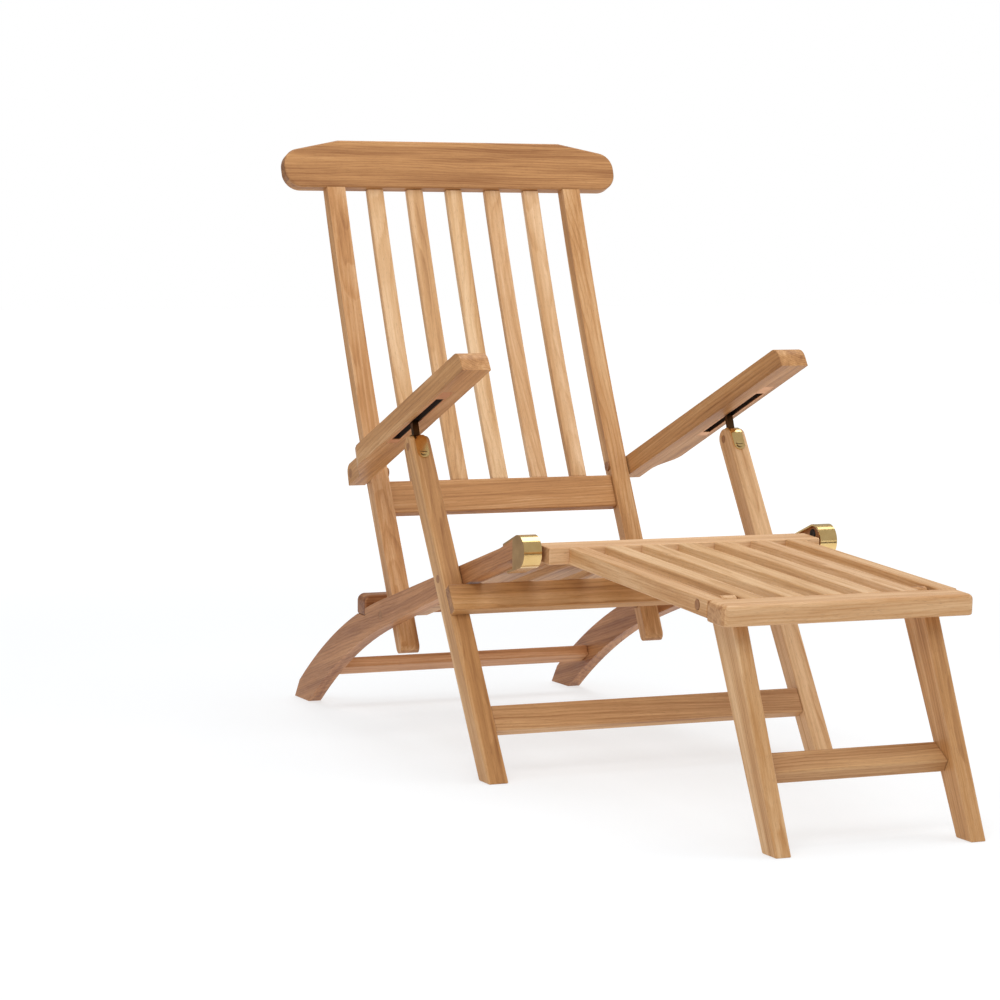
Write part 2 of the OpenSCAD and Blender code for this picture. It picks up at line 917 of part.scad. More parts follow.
rest_bolt_short = 4;
module rest_bolt(hand) {
    color(steel)
        cross_bar(hand, rest_leg_inner + rest_bolt_short, rest_outer - plug_deep, rest_pivot, bolt_radius);
    color(end_grain)
        cross_bar(hand, rest_outer - plug_deep, rest_outer, rest_pivot, rest_plug_radius);
}

module rest_bolt_left() { rest_bolt(-1); }
module rest_bolt_right() { rest_bolt(1); }

// Legs of the leg rest, in the side view

rest_foot_reach = 129;
rest_foot_deep = 39;
rest_foot_rear = rest_pivot.x + rest_foot_reach;
rest_foot_front = rest_foot_rear + rest_foot_deep;
rest_rear_lean = 0.52;
rest_front_lean = 0.445;
rest_head_radius = 11;
// The shoulder stops under the front rail, and the head stays behind that rail
rest_stop_gap = 0.5;
rest_shoulder = rest_point(rest_slat_end + rest_head_radius, rest_front_thick).y - rest_stop_gap;
rest_neck = rest_point(rest_slat_end, 0).x - 3;
function rest_leg_rear(height) = [rest_foot_rear - rest_rear_lean * height, height];
function rest_leg_front(height) = [rest_foot_front - rest_front_lean * height, height];

module rest_leg_profile() {
    translate(rest_pivot)
        circle(r = rest_head_radius);
    polygon([
        rest_leg_rear(0),
        rest_leg_front(0),
        rest_leg_front(rest_shoulder),
        [rest_neck, rest_shoulder],
        [rest_neck, rest_pivot.y - 6],
        rest_pivot + [0, rest_head_radius],
        rest_pivot + [-rest_head_radius, 0],
        rest_leg_rear(rest_shoulder + 8)
    ]);
}

module rest_leg(hand) {
    color(teak)
        difference() {
            flank(hand, rest_leg_inner, rest_leg_outer)
                rest_leg_profile();
            cross_bar(hand, rest_leg_inner + rest_bolt_short - 1, rest_leg_outer + 1, rest_pivot, bolt_radius + running_gap);
        }
}

module rest_leg_left() { rest_leg(-1); }
module rest_leg_right() { rest_leg(1); }

rest_stretcher_top = 101;
rest_stretcher_set = 16;
rest_stretcher_turn = 149;
rest_stretcher_high = 41;
rest_stretcher_thick = 20;
module rest_leg_stretcher() {
    color(teak_light)
        side(-rest_leg_inner, 2 * rest_leg_inner)
            translate(rest_leg_front(rest_stretcher_top) - [rest_stretcher_set, 0])
                rotate(rest_stretcher_turn)
                    square([rest_stretcher_high, rest_stretcher_thick]);
}

rail_left();
rail_right();
rear_stretcher();
rear_bar();
seat_front_rail();
seat_middle_rail();
seat_slat_1();
seat_slat_2();
seat_slat_3();
seat_slat_4();
seat_slat_5();
nose_cap_left();
nose_cap_right();
rail_plugs();
front_leg_left();
front_leg_right();
front_crossbar();
front_stretcher();
arm_hook_left();
arm_hook_right();
hook_screws();
leg_bolt_left();
leg_bolt_right();
leg_plugs();
back_bolt_left();
back_bolt_right();
stile_left();
stile_right();
head_rail();
low_back_rail();
back_slat_1();
back_slat_2();
back_slat_3();
back_slat_4();
back_slat_5();
arm_bolt_left();
arm_bolt_right();
arm_left();
arm_right();
arm_track_left();
arm_track_right();
arm_plug_left();
arm_plug_right();
rest_rear_rail();
rest_side_left();
rest_side_right();
rest_front_rail();
rest_slat_1();
rest_slat_2();
rest_slat_3();
rest_slat_4();
rest_slat_5();
hinge_pin_left();
hinge_pin_right();
rest_bolt_left();
rest_bolt_right();
rest_leg_left();
rest_leg_right();
rest_leg_stretcher();
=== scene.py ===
"""Looks of a folding teak sun lounger with brass fittings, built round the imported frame."""

import json
import math
import random

import bmesh
import bpy
from mathutils import Matrix, Vector


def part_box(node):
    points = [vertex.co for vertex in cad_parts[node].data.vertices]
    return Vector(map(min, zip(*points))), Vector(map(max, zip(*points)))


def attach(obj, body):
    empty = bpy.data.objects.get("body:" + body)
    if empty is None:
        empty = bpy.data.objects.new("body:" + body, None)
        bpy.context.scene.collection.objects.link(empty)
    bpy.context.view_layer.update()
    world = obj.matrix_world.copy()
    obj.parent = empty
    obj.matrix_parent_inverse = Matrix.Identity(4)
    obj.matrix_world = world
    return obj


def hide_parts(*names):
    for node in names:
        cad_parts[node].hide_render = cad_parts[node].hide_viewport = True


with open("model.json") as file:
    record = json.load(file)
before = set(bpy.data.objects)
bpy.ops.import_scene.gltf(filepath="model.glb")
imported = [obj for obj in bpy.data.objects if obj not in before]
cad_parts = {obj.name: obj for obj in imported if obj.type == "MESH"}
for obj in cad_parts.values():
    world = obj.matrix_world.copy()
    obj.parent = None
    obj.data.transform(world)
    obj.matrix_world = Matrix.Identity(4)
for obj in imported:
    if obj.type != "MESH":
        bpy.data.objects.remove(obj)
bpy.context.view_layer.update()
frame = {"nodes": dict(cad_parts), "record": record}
nodes = frame["nodes"]
body_of_node = {}
for body_name, members in frame["record"]["behaviour"]["bodies"].items():
    for member in members:
        body_of_node[member] = body_name
slot_of_node = {}
for subpart in frame["record"]["subparts"]:
    slot_of_node[subpart["node"]] = subpart["material_slot"]

# Camera at the photo's viewing angle: place in metres, lens and sensor in millimetres
CAMERA_PLACE = Vector((-2.0371, -4.32128, 0.79502))
CAMERA_FORWARD = Vector((0.38854708, 0.91769469, -0.08287113))
CAMERA_ROLL = math.radians(0.18644)
CAMERA_LENS = 112.09
CAMERA_SENSOR = 36
CAMERA_REACH = 100

# Slopes of the pieces that run forward, upward as they go, in degrees
RAIL_SLOPE = 14.72
ARM_SLOPE = 21
REST_SLOPE = -3.66
FORWARD_SLOPES = (
    ("arm_left", ARM_SLOPE), ("arm_right", ARM_SLOPE), ("rest_side", REST_SLOPE),
    ("rest_slat", REST_SLOPE), ("rail", RAIL_SLOPE), ("seat_slat", RAIL_SLOPE),
)

# Leans of the upright pieces, backward as they go up, in degrees
LEG_LEAN = 33
SLAT_LEAN = 23
UPRIGHT_LEANS = (("front_leg", LEG_LEAN), ("stile", 25), ("rest_leg", 25.6))

# Groups of pieces
ARMS = ("arm_left", "arm_right")
REST_END = "rest_front_rail"
CROSS_PIECES = (
    "rear_stretcher", "rear_bar", "seat_front_rail", "seat_middle_rail", "front_crossbar",
    "front_stretcher", "head_rail", "low_back_rail", "rest_rear_rail", "rest_front_rail",
    "rest_leg_stretcher",
)
THICK_PIECES = ("head_rail", "rear_bar", "stile_left", "stile_right")
PLUG_PIECES = ("rail_plugs", "leg_plugs", "arm_plug_left", "arm_plug_right")
RED_PIECES = ("rail_left", "rail_right", "rear_bar", "rear_stretcher")
WOOD_SLOTS = ("teak", "teak_light")

# How deep each kind of piece is in colour: below 0 is paler than the middle tone, above 0 deeper.
# Besides each piece's own tone these hold painted light and shade: pieces under the seat, such as the
# seat slats, crossbar and stretchers, are set deeper as painted shade, and well-lit pieces paler.
TONES_AND_PAINTED_SHADE = (
    ("rail_", 0.20), ("arm_", 0.10), ("rear_bar", 0.16), ("rear_stretcher", 0.10), ("head_rail", 0.17),
    ("low_back_rail", 0.09), ("stile_left", -0.02), ("stile_right", -0.12), ("back_slat", -0.08),
    ("front_leg_left", 0.10), ("front_leg_right", -0.28), ("front_stretcher", 0.26),
    ("front_crossbar", 0.20), ("rest_front_rail", -0.16), ("rest_rear_rail", -0.24), ("rest_side", -0.08),
    ("rest_leg_left", -0.12), ("rest_leg_right", -0.04), ("rest_leg_stretcher", 0.19),
    ("rest_slat", -0.06), ("seat_", 0.24),
)
DEPTH_SPREAD = 0.06
REDNESS_MOST = 0.4

# Where in its log a piece was cut, in metres from the heart, and how far its grain runs askew
LOG_LENGTH = 40
HEART_ASIDE = 0.03
HEART_NEAR = 0.03
HEART_FAR = 0.09
SKEW_ACROSS = 0.03
SKEW_THROUGH = 0.02

# Rounding of edges: radius in metres, and steps. The radius is the most that an edge gets: a piece with
# very short edges, such as a rail, a stile or an arm, gets far less, because the bevel is clamped.
WOOD_ROUND = 0.0022
THICK_ROUND = 0.0035
TIP_PIECE_ROUND = 0.003
PLUG_ROUND = 0.0009
THIN_ROUND = 0.0004
WOOD_STEPS = 3
PLUG_STEPS = 2
THIN_STEPS = 1
TIP_STEPS = 4

# Which edges are rounded: the shortest, and angles between their faces in degrees
WELD_GAP = 1e-6
SHORT_EDGE = 0.001
FLAT_ANGLE = 0.5
SHARP_ANGLE = 35
SMOOTH_ANGLE = 40

# Front ends of the arms and of the leg rest: how far back they reach, and their upright edges' rounding
TIP_REACH = 0.018
TIP_ROUND = 0.010
# How far the top of an arm's front end is set back from its foot
TIP_SLANT = 0.008
# Rounding of the same pieces' upper edges, and how far below the top these may lie
TOP_ROUND = 0.008
TOP_REACH = 0.002
ARM_TOP_REACH = 0.0175
# Gap behind the upper edges that leaves none of them out
NO_REAR_GAP = -1
# Most of an upright edge's direction that may run sideways or forward, and least upward share of a face
SIDEWAYS_MOST = 0.1
FORWARD_MOST = 0.9
UPWARD_LEAST = 0.03

# Noise patterns: steps for each metre along, across and through the grain, then detail and roughness
PATTERNS = {
    "slow_wave": ((2.2, 12, 12), 2.0, 0.5),
    "quick_wave": ((14, 70, 70), 2.0, 0.5),
    "ring_patch": ((3.5, 90, 90), 1.0, 0.5),
    "fibre": ((28, 900, 900), 3.0, 0.6),
    "streak": ((1.8, 170, 170), 4.0, 0.6),
    "pore": ((90, 2300, 2300), 1.0, 0.5),
    "cloud": ((5, 22, 22), 3.0, 0.5),
    "band": ((1.6, 48, 48), 2.0, 0.5),
    "plug_line": ((60, 900, 900), 3.0, 0.5),
    "metal_cloud": ((60, 60, 60), 3.0, 0.5),
    "slot_shade_cloud": ((90, 90, 90), 2.0, 0.5),
    "bore_shade_cloud": ((400, 400, 400), 2.0, 0.5),
}

# Growth rings: number for each metre, how far waves bend them, and the shape of the dark late wood
RINGS_PER_METRE = 230.0
SLOW_BEND = 0.030
QUICK_BEND = 0.0035
LATE_RISE = 3.0
LATE_FALL = 18.0
PATCH_CONTRAST = 1.6
PATCH_START = -0.25

# How much each pattern darkens the wood, and where the middle colour lies between pale and dark
STREAK_WEIGHT = 0.85
BAND_WEIGHT = 0.9
LATE_WEIGHT = 0.42
FIBRE_WEIGHT = 0.40
CLOUD_WEIGHT = 0.35
SHADE_START = -0.40
MIDDLE_PLACE = 0.48

# Pores in the wood, its redder cast, and its surface
PORE_CONTRAST = 9.0
PORE_START = -5.6
PORE_SHARE = 0.42
PORE_DEPTH = -0.8
PORE_COLOUR = (104, 66, 38)
RED_CAST = (247, 234, 240)
WOOD_ROUGH = 0.38
FIBRE_ROUGH = 0.22
WOOD_SPECULAR = 0.35
BUMP_STRENGTH = 0.16
BUMP_HEIGHT = 0.0006

# Plugs: where the pale and the dark lines lie in their pattern, and their surface
PALE_PLACE = 0.25
DARK_PLACE = 0.75
PLUG_ROUGH = 0.5

# Metal: how its cloudiness shows in colour and in polish
DULL_CONTRAST = 1.2
DULL_START = -0.3
CLOUD_ROUGH = 0.10

# Painted shade inside the arms' slots, and on the black discs that stand for the noses' shaded bores
SLOT_SHADE_ROUGH = 0.7
BORE_SHADE_ROUGH = 0.5
BORE_SHADE_CLOUD_ROUGH = 0.2

# Least share of a face's direction along the grain that makes it end grain, and of a plug's outer face
END_SHARE = 0.8
RIM_SHARE = 0.97

# Slot in an arm's underside: half its width, and the depths between which its inside is painted black as
# shade
SLOT_HALF = 0.007
SLOT_SHALLOW = 0.0005
SLOT_DEEP = 0.0225

# Places on the fittings where the material changes, as distances from the middle plane
PLUG_START = 0.186
HEAD_END = 0.2032
# Beyond this the nose cap's outer cheek gets browner brass, a painted reflection of the brown surroundings
CHEEK_START = 0.2572
# Lower end of a hook's neck above its leg, above which the hook is painted dark as shade and reflection,
# and how far the screws' bright heads reach down before their sides and slots are painted shade
NECK_RISE = 0.003
SCREW_DROP = 0.0003

# Dark disc on each nose's inner face, painted as the shade in a bore: rings as (radius, height), and its
# place from the hinge pin
BORE_SHADE_RINGS = (
    (0.0021, 0.0008), (0.0026, 0.0014), (0.0069, 0.0016), (0.0080, 0.0012), (0.0084, 0.0004),
    (0.0084, 0.0),
)
BORE_SHADE_STEPS = 32
BORE_SHADE_BACK = 0.0105
BORE_SHADE_RISE = 0.0080

# Floor: size, drop, colour, and its glow from near to far
FLOOR_SIZE = 60
FLOOR_DROP = 0.0005
FLOOR_COLOUR = (0.36, 0.375, 0.39, 1)
GLOW_NEAR = 1.3
GLOW_FAR = 5.0
GLOW_LEAST = 0.64
GLOW_MOST = 0.88

# Room: colour and strength of its light
ROOM_COLOUR = (1, 0.99, 0.98, 1)
ROOM_STRENGTH = 0.48

# Lamps: name, place, width and power. All of them point at the object's middle.
OBJECT_MIDDLE = (0, 0, 0.4)
LAMPS = (
    ("key", (-2.2, -2.6, 3.4), 2.6, 62),
    ("top", (0.6, 0.4, 3.8), 3.0, 70),
    ("right", (3.2, -1.6, 1.8), 2.4, 22),
)

# Dark cards for reflections: name, place, size and the point that each faces
CARD_COLOUR = (0.05, 0.035, 0.022, 1)
CARDS = (
    ("card_rear", (-1.9, 3.2, 0.5), (2.6, 1.5), OBJECT_MIDDLE),
    ("card_left", (-2.6, 0.2, 0.9), (2.0, 1.2), OBJECT_MIDDLE),
    ("card_low", (0.2, -2.0, 0.004), (2.6, 1.6), (0.2, -2.0, 1)),
)


def linear(red, green, blue):
    """Colour given in sRGB steps of 0 to 255, as the linear values a shader takes."""
    result = []
    for step in (red, green, blue):
        value = step / 255
        result.append(value / 12.92 if value <= 0.04045 else ((value + 0.055) / 1.055) ** 2.4)
    return (*result, 1)


def value_for(node, table, value):
    """Last value of a table whose name begins the node's name, or else the value given."""
    for start, entry in table:
        if node.startswith(start):
            value = entry
    return value


def slope_axes(slope):
    """Forward along a slope, and upward square to it."""
    turn = math.radians(slope)
    along = Vector((0, -math.cos(turn), math.sin(turn)))
    upward = Vector((0, math.sin(turn), math.cos(turn)))
    return along, upward


# Grain of the pieces


def grain_axes(node):
    """Directions along, across and through a piece's grain."""
    across = Vector((1, 0, 0))
    if node in CROSS_PIECES:
        return across, Vector((0, 1, 0)), Vector((0, 0, 1))
    slope = value_for(node, FORWARD_SLOPES, None)
    if slope is None:
        along = slope_axes(value_for(node, UPRIGHT_LEANS, SLAT_LEAN))[1]
    else:
        along = slope_axes(slope)[0]
    return along, across, along.cross(across)


def write_grain(mesh, node, seed):
    """Stores each vertex's place in the log the piece was cut from, and the piece's own tone with its
    painted light and shade.
    """
    picker = random.Random(seed)
    along, across, through = grain_axes(node)
    tilt = Vector((picker.uniform(-SKEW_ACROSS, SKEW_ACROSS), picker.uniform(-SKEW_THROUGH, SKEW_THROUGH)))
    log_place = picker.uniform(0, LOG_LENGTH)
    aside = picker.uniform(-HEART_ASIDE, HEART_ASIDE)
    heart_side = picker.choice((-1, 1))
    shift = Vector((log_place, aside, heart_side * picker.uniform(HEART_NEAR, HEART_FAR)))
    redness = 1 if node in RED_PIECES else picker.uniform(0, REDNESS_MOST)
    # The depth is the piece's tone together with its painted light and shade
    depth = value_for(node, TONES_AND_PAINTED_SHADE, 0) + picker.uniform(-DEPTH_SPREAD, DEPTH_SPREAD)
    tone = Vector((depth, redness, 0))
    centre = Vector((0, 0, 0))
    for vertex in mesh.vertices:
        centre += vertex.co
    centre /= len(mesh.vertices)
    grain = mesh.attributes.new("grain", "FLOAT_VECTOR", "POINT")
    tint = mesh.attributes.new("tint", "FLOAT_VECTOR", "POINT")
    for index, vertex in enumerate(mesh.vertices):
        place = vertex.co - centre
        u = place.dot(along)
        v = place.dot(across) + tilt.x * u
        w = place.dot(through) + tilt.y * u
        grain.data[index].vector = Vector((u, v, w)) + shift
        tint.data[index].vector = tone


# Rounded copies of the frame's pieces


def sharp_edges(shape):
    """Edges where two faces meet sharply, without the very short ones."""
    edges = []
    for edge in shape.edges:
        if len(edge.link_faces) == 2 and edge.calc_length() > SHORT_EDGE:
            if edge.calc_face_angle() > math.radians(SHARP_ANGLE):
                edges.append(edge)
    return edges


def round_edges(shape, edges, radius, steps):
    """Rounds some of a shape's edges."""
    bmesh.ops.bevel(
        shape, geom=edges, offset=radius, offset_type="OFFSET", segments=steps, profile=0.5,
        affect="EDGES", clamp_overlap=True,
    )


def slant_tip(shape):
    """Sets the top of an arm's front end back, so that the end leans."""
    along, upward = slope_axes(ARM_SLOPE)
    front = max(vertex.co.dot(along) for vertex in shape.verts)
    tip = [vertex for vertex in shape.verts if vertex.co.dot(along) > front - TIP_REACH]
    low = min(vertex.co.dot(upward) for vertex in tip)
    top = max(vertex.co.dot(upward) for vertex in tip)
    for vertex in tip:
        share = (vertex.co.dot(upward) - low) / (top - low)
        vertex.co -= TIP_SLANT * share * along


def tip_corners(shape, slope):
    """Upright edges at the front end of a sloping piece, which are rounded more than the others."""
    along = slope_axes(slope)[0]
    front = max(vertex.co.dot(along) for vertex in shape.verts)
    edges = []
    for edge in sharp_edges(shape):
        start, end = (vertex.co for vertex in edge.verts)
        heading = (end - start).normalized()
        reach = min(start.dot(along), end.dot(along))
        if reach > front - TIP_REACH and abs(heading.x) < SIDEWAYS_MOST:
            if abs(heading.dot(along)) < FORWARD_MOST:
                edges.append(edge)
    return edges


def upper_edges(shape, slope, reach, rear_gap):
    """Sharp edges round the top of a sloping piece, from a distance in front of its rear end on."""
    along, upward = slope_axes(slope)
    top = max(vertex.co.dot(upward) for vertex in shape.verts)
    rear = min(vertex.co.dot(along) for vertex in shape.verts)
    edges = []
    for edge in sharp_edges(shape):
        start, end = (vertex.co for vertex in edge.verts)
        if min(start.dot(upward), end.dot(upward)) > top - reach:
            facing = max(face.normal.dot(upward) for face in edge.link_faces)
            if facing > UPWARD_LEAST and max(start.dot(along), end.dot(along)) > rear + rear_gap:
                edges.append(edge)
    return edges


def round_arm(shape):
    """Leans an arm's front end, and rounds it together with the arm's upper edges."""
    slant_tip(shape)
    shape.normal_update()
    edges = upper_edges(shape, ARM_SLOPE, ARM_TOP_REACH, NO_REAR_GAP)
    edges += [edge for edge in tip_corners(shape, ARM_SLOPE) if edge not in edges]
    round_edges(shape, edges, TOP_ROUND, TIP_STEPS)


def round_rest_end(shape):
    """Rounds the corners and then the upper edges of the leg rest's front end."""
    round_edges(shape, tip_corners(shape, REST_SLOPE), TIP_ROUND, TIP_STEPS)
    shape.normal_update()
    edges = upper_edges(shape, REST_SLOPE, TOP_REACH, TIP_REACH)
    round_edges(shape, edges, TOP_ROUND, TIP_STEPS)


def rounding(node):
    """Radius and steps with which a node's edges are rounded."""
    if node in ARMS or node == REST_END:
        return TIP_PIECE_ROUND, WOOD_STEPS
    if node in THICK_PIECES:
        return THICK_ROUND, WOOD_STEPS
    if slot_of_node[node] in WOOD_SLOTS:
        return WOOD_ROUND, WOOD_STEPS
    if node in PLUG_PIECES:
        return PLUG_ROUND, PLUG_STEPS
    return THIN_ROUND, THIN_STEPS


def rounded_mesh(node):
    """Mesh of a node with its sharp edges rounded."""
    mesh = nodes[node].data.copy()
    shape = bmesh.new()
    shape.from_mesh(mesh)
    bmesh.ops.remove_doubles(shape, verts=shape.verts, dist=WELD_GAP)
    bmesh.ops.dissolve_limit(
        shape, angle_limit=math.radians(FLAT_ANGLE), verts=shape.verts[:], edges=shape.edges[:]
    )
    if node in ARMS:
        round_arm(shape)
    elif node == REST_END:
        round_rest_end(shape)
    radius, steps = rounding(node)
    round_edges(shape, sharp_edges(shape), radius, steps)
    for face in shape.faces:
        face.smooth = True
    for edge in shape.edges:
        if len(edge.link_faces) == 2:
            edge.smooth = edge.calc_face_angle() < math.radians(SMOOTH_ANGLE)
    shape.to_mesh(mesh)
    shape.free()
    return mesh


def look(node, seed):
    """Rounded copy of a node, shown in its place and moving with its body."""
    mesh = rounded_mesh(node)
    write_grain(mesh, node, seed)
    mesh.materials.clear()
    mesh.materials.append(materials[slot_of_node[node]])
    piece = bpy.data.objects.new(node + "_look", mesh)
    bpy.context.scene.collection.objects.link(piece)
    weighted = piece.modifiers.new("Weighted normals", "WEIGHTED_NORMAL")
    weighted.keep_sharp = True
    bpy.context.view_layer.update()
    depsgraph = bpy.context.evaluated_depsgraph_get()
    final = bpy.data.meshes.new_from_object(piece.evaluated_get(depsgraph))
    piece.modifiers.clear()
    piece.data = final
    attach(piece, body_of_node[node])
    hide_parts(node)
    return piece


# Materials


class Graph:
    """Node tree of one material."""

    def __init__(self, name):
        self.material = bpy.data.materials.new(name)
        self.material.use_nodes = True
        self.tree = self.material.node_tree
        self.shader = self.tree.nodes["Principled BSDF"]

    def node(self, kind, settings=None, **inputs):
        """New node; a keyword is an input's name with _ for a space, or in followed by its number."""
        made = self.tree.nodes.new(kind)
        for key, value in (settings or {}).items():
            setattr(made, key, value)
        for key, value in inputs.items():
            numbered = key[:2] == "in" and key[2:].isdigit()
            socket = made.inputs[int(key[2:])] if numbered else made.inputs[key.replace("_", " ")]
            self.feed(socket, value)
        return made

    def feed(self, socket, value):
        """Links an output to a socket, or sets the socket's own number."""
        if isinstance(value, bpy.types.NodeSocket):
            self.tree.links.new(value, socket)
        else:
            socket.default_value = value

    def surface(self, name, value):
        """Links an output to one of the shader's inputs, or sets the input's own number."""
        self.feed(self.shader.inputs[name], value)

    def attribute(self, name):
        """Vector stored on the mesh's vertices."""
        return self.node("ShaderNodeAttribute", {"attribute_name": name}).outputs["Vector"]

    def math(self, operation, first, second=0.0, third=0.0, clamp=False):
        """Result of one operation on up to three numbers."""
        made = self.node("ShaderNodeMath", {"operation": operation, "use_clamp": clamp})
        for index, value in enumerate((first, second, third)):
            self.feed(made.inputs[index], value)
        return made.outputs[0]

    def pattern(self, name, grain):
        """Named noise pattern that follows the piece's grain."""
        scale, detail, roughness = PATTERNS[name]
        place = self.node("ShaderNodeVectorMath", {"operation": "MULTIPLY"}, in0=grain, in1=scale)
        made = self.node(
            "ShaderNodeTexNoise", None, Vector=place.outputs[0], Scale=1.0, Detail=detail,
            Roughness=roughness,
        )
        return made.outputs["Fac"]

    def ramp(self, factor, stops):
        """Colour ramp through (place, colour) stops."""
        made = self.node("ShaderNodeValToRGB", None, Fac=factor)
        elements = made.color_ramp.elements
        while len(elements) < len(stops):
            elements.new(0.5)
        for element, (place, colour) in zip(elements, stops):
            element.position = place
            element.color = colour
        return made.outputs["Color"]

    def mix(self, factor, first, second, blend="MIX"):
        """Mix of two colours."""
        made = self.node("ShaderNodeMix", {"data_type": "RGBA", "blend_type": blend})
        self.feed(made.inputs[0], factor)
        self.feed(made.inputs[6], first)
        self.feed(made.inputs[7], second)
        return made.outputs[2]


def late_wood(graph, grain):
    """Dark late wood of the growth rings, stronger in some places than in others."""
    parts = graph.node("ShaderNodeSeparateXYZ", None, Vector=grain)
    side, deep = parts.outputs["Y"], parts.outputs["Z"]
    side_squared = graph.math("MULTIPLY", side, side)
    distance = graph.math("SQRT", graph.math("MULTIPLY_ADD", deep, deep, side_squared))
    bent = graph.math("MULTIPLY_ADD", graph.pattern("slow_wave", grain), SLOW_BEND, distance)
    bent = graph.math("MULTIPLY_ADD", graph.pattern("quick_wave", grain), QUICK_BEND, bent)
    rings = graph.math("FRACT", graph.math("MULTIPLY", bent, RINGS_PER_METRE))
    fall = graph.math("SUBTRACT", 1.0, graph.math("POWER", rings, LATE_FALL))
    late = graph.math("MULTIPLY", graph.math("POWER", rings, LATE_RISE), fall)
    patches = graph.pattern("ring_patch", grain)
    strength = graph.math("MULTIPLY_ADD", patches, PATCH_CONTRAST, PATCH_START, clamp=True)
    return graph.math("MULTIPLY", late, strength)


def wood_shade(graph, grain, fibre, depth):
    """One number from pale to dark, from all the wood's patterns and the piece's own depth, which also
    holds painted light and shade.
    """
    shade = graph.math("MULTIPLY_ADD", graph.pattern("streak", grain), STREAK_WEIGHT, -STREAK_WEIGHT / 2)
    shade = graph.math("MULTIPLY_ADD", graph.pattern("band", grain), BAND_WEIGHT, shade)
    shade = graph.math("MULTIPLY_ADD", late_wood(graph, grain), LATE_WEIGHT, shade)
    shade = graph.math("MULTIPLY_ADD", fibre, FIBRE_WEIGHT, shade)
    shade = graph.math("MULTIPLY_ADD", graph.pattern("cloud", grain), CLOUD_WEIGHT, shade)
    shade = graph.math("ADD", shade, depth)
    return graph.math("ADD", shade, SHADE_START, clamp=True)


def wood(name, pale, middle, dark):
    """Oiled teak: growth rings cut through lengthways, fine fibres and short dark pores."""
    graph = Graph(name)
    grain = graph.attribute("grain")
    tint = graph.node("ShaderNodeSeparateXYZ", None, Vector=graph.attribute("tint"))
    fibre = graph.pattern("fibre", grain)
    pore_field = graph.pattern("pore", grain)
    pores = graph.math("MULTIPLY_ADD", pore_field, PORE_CONTRAST, PORE_START, clamp=True)
    shade = wood_shade(graph, grain, fibre, tint.outputs["X"])
    colour = graph.ramp(shade, ((0.0, pale), (MIDDLE_PLACE, middle), (1.0, dark)))
    redder = graph.mix(1.0, colour, linear(*RED_CAST), "MULTIPLY")
    colour = graph.mix(tint.outputs["Y"], colour, redder)
    colour = graph.mix(graph.math("MULTIPLY", pores, PORE_SHARE), colour, linear(*PORE_COLOUR))
    graph.surface("Base Color", colour)
    graph.surface("Roughness", graph.math("MULTIPLY_ADD", fibre, FIBRE_ROUGH, WOOD_ROUGH))
    graph.surface("Specular IOR Level", WOOD_SPECULAR)
    height = graph.math("MULTIPLY_ADD", pores, PORE_DEPTH, fibre)
    bump = graph.node("ShaderNodeBump", None, Height=height, Strength=BUMP_STRENGTH, Distance=BUMP_HEIGHT)
    graph.surface("Normal", bump.outputs["Normal"])
    return graph.material


def plug_wood(name):
    """Small wood plug: darker, with fine straight lines."""
    graph = Graph(name)
    lines = graph.pattern("plug_line", graph.attribute("grain"))
    stops = ((PALE_PLACE, linear(172, 120, 76)), (DARK_PLACE, linear(124, 80, 46)))
    graph.surface("Base Color", graph.ramp(lines, stops))
    graph.surface("Roughness", PLUG_ROUGH)
    graph.surface("Specular IOR Level", WOOD_SPECULAR)
    return graph.material


def metal(name, colour, dull_colour, roughness):
    """Metal with a faint cloudiness in its colour and polish."""
    graph = Graph(name)
    cloud = graph.pattern("metal_cloud", graph.attribute("grain"))
    dullness = graph.math("MULTIPLY_ADD", cloud, DULL_CONTRAST, DULL_START, clamp=True)
    graph.surface("Base Color", graph.mix(dullness, colour, dull_colour))
    graph.surface("Roughness", graph.math("MULTIPLY_ADD", cloud, CLOUD_ROUGH, roughness))
    graph.surface("Metallic", 1.0)
    return graph.material


def painted_slot_shade(name):
    """Painted shade: near-black inside of the arm's slot, where shade falls."""
    graph = Graph(name)
    cloud = graph.pattern("slot_shade_cloud", graph.attribute("grain"))
    graph.surface("Base Color", graph.mix(cloud, linear(34, 24, 18), linear(58, 42, 30)))
    graph.surface("Roughness", SLOT_SHADE_ROUGH)
    return graph.material


def bore_shade_black(name):
    """Painted shade: matt black of the discs that stand for the shaded bores in the noses."""
    graph = Graph(name)
    cloud = graph.pattern("bore_shade_cloud", graph.attribute("grain"))
    graph.surface("Base Color", graph.mix(cloud, linear(22, 19, 18), linear(40, 35, 32)))
    graph.surface("Roughness", graph.math("MULTIPLY_ADD", cloud, BORE_SHADE_CLOUD_ROUGH, BORE_SHADE_ROUGH))
    return graph.material


materials = {
    "teak": wood("teak", linear(226, 188, 142), linear(191, 141, 88), linear(138, 88, 46)),
    "teak_light": wood("teak_light", linear(232, 198, 156), linear(204, 160, 110), linear(152, 102, 58)),
    "end_grain": plug_wood("end_grain"),
    "brass": metal("brass", linear(240, 207, 144), linear(216, 176, 108), roughness=0.12),
    "steel": metal("steel", linear(140, 106, 76), linear(104, 76, 52), roughness=0.42),
}
# Painted shade and reflection: dark metal for the hooks' necks and the screws' slots and sides
painted_shade_metal = metal("painted_shade_metal", linear(92, 66, 40), linear(50, 36, 24), roughness=0.26)
# Painted reflection: browner, duller brass for the nose caps' outer cheeks
painted_reflection_brass = metal("painted_reflection_brass", linear(190, 152, 100), linear(150, 112, 66), roughness=0.30)
track_metal = metal("track_metal", linear(222, 166, 118), linear(190, 136, 92), roughness=0.38)
cut_ends = wood("teak_cut_end", linear(204, 160, 112), linear(166, 118, 74), linear(112, 70, 40))
